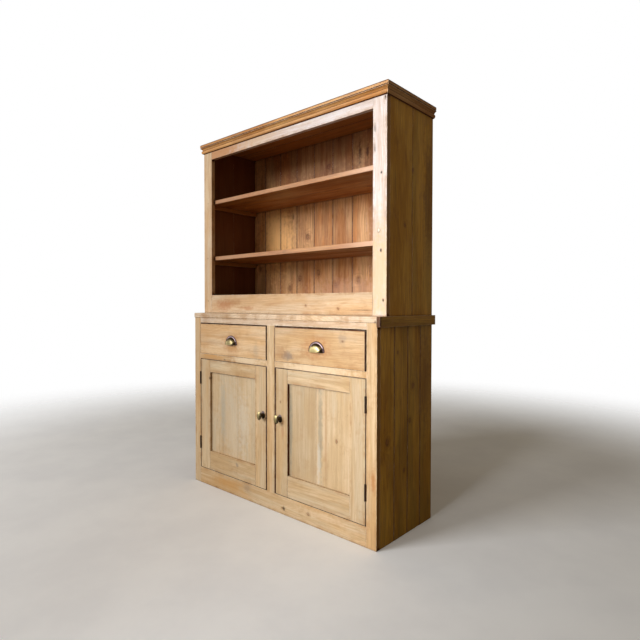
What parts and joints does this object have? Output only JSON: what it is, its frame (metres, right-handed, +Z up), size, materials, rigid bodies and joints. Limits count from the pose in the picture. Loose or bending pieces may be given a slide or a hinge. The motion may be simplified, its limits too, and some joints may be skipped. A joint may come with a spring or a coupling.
{
  "type": "hutch",
  "caption": "Free-standing pine hutch: drawers over panelled cupboard doors, with an open shelf rack and a moulded cornice standing on the worktop.",
  "frame": {"origin": "middle of the bounding box on the floor", "axes": "+Z up, the front faces -Y, +X to the right of someone facing the front"},
  "size_m": [1.304, 0.477, 1.93],
  "materials": {
    "frame_pine": "waxed old pine",
    "side_pine": "waxed old pine",
    "back_pine": "waxed old pine",
    "inner_pine": "waxed old pine",
    "worktop_pine": "waxed old pine",
    "shelf_pine": "waxed old pine",
    "cornice_pine": "waxed old pine",
    "drawer_pine": "waxed old pine",
    "door_pine": "waxed old pine",
    "panel_pine": "waxed old pine",
    "brass": "aged, rubbed bright on the high spots",
    "iron": "dark, dull"
  },
  "bodies": {
    "case": {"base_stile_left": "frame_pine", "base_stile_right": "frame_pine", "base_muntin": "frame_pine", "base_top_rail": "frame_pine", "base_mid_rails": "frame_pine", "base_bottom_rail": "frame_pine", "base_side_left": "side_pine", "base_side_right": "side_pine", "base_back_boards": "back_pine", "base_bottom_boards": "inner_pine", "cupboard_shelf": "inner_pine", "shelf_bearers": "inner_pine", "worktop_boards": "worktop_pine", "worktop_end_strip": "worktop_pine", "drawer_runners": "inner_pine", "drawer_guides": "inner_pine", "drawer_kickers": "inner_pine", "hinge_frame_leaves": "iron", "rack_stile_left": "frame_pine", "rack_stile_right": "frame_pine", "rack_top_rail": "frame_pine", "rack_bottom_rail": "frame_pine", "rack_side_left": "side_pine", "rack_side_right": "side_pine", "rack_back_boards": "back_pine", "rack_top_boards": "inner_pine", "rack_floor_boards": "inner_pine", "rack_shelf_lower": "shelf_pine", "rack_shelf_upper": "shelf_pine", "cornice_front": "cornice_pine", "cornice_returns": "cornice_pine"},
    "left_drawer": {"left_drawer_front": "drawer_pine", "left_drawer_sides": "inner_pine", "left_drawer_back": "inner_pine", "left_drawer_bottom": "inner_pine", "left_drawer_cup_pull": "brass"},
    "left_door": {"left_door_hinge_stile": "door_pine", "left_door_meeting_stile": "door_pine", "left_door_top_rail": "door_pine", "left_door_bottom_rail": "door_pine", "left_door_panel": "panel_pine", "left_door_hinge_leaves": "iron", "left_door_knob_plate": "brass"},
    "left_catch": {"left_door_turn_knob": "brass", "left_door_catch_bar": "iron"},
    "right_drawer": {"right_drawer_front": "drawer_pine", "right_drawer_sides": "inner_pine", "right_drawer_back": "inner_pine", "right_drawer_bottom": "inner_pine", "right_drawer_cup_pull": "brass"},
    "right_door": {"right_door_hinge_stile": "door_pine", "right_door_meeting_stile": "door_pine", "right_door_top_rail": "door_pine", "right_door_bottom_rail": "door_pine", "right_door_panel": "panel_pine", "right_door_hinge_leaves": "iron", "right_door_knob_plate": "brass"},
    "right_catch": {"right_door_turn_knob": "brass", "right_door_catch_bar": "iron"}
  },
  "joints": [
    {"name": "left_drawer_slide", "type": "slide", "parent": "case", "child": "left_drawer", "axis": [0, -1, 0], "range_m": [0, 0.3]},
    {"name": "right_drawer_slide", "type": "slide", "parent": "case", "child": "right_drawer", "axis": [0, -1, 0], "range_m": [0, 0.3]},
    {"name": "left_door_hinge", "type": "hinge", "parent": "case", "child": "left_door", "pos_m": [-0.5795, -0.2097, 0.396], "axis": [0, 0, -1], "range_deg": [0, 165]},
    {"name": "right_door_hinge", "type": "hinge", "parent": "case", "child": "right_door", "pos_m": [0.5795, -0.2097, 0.396], "axis": [0, 0, 1], "range_deg": [0, 165]},
    {"name": "left_catch_turn", "type": "hinge", "parent": "left_door", "child": "left_catch", "pos_m": [-0.055, -0.2065, 0.46], "axis": [0, -1, 0], "range_deg": [0, 90]},
    {"name": "right_catch_turn", "type": "hinge", "parent": "right_door", "child": "right_catch", "pos_m": [0.067, -0.2065, 0.46], "axis": [0, 1, 0], "range_deg": [0, 90]}
  ]
}
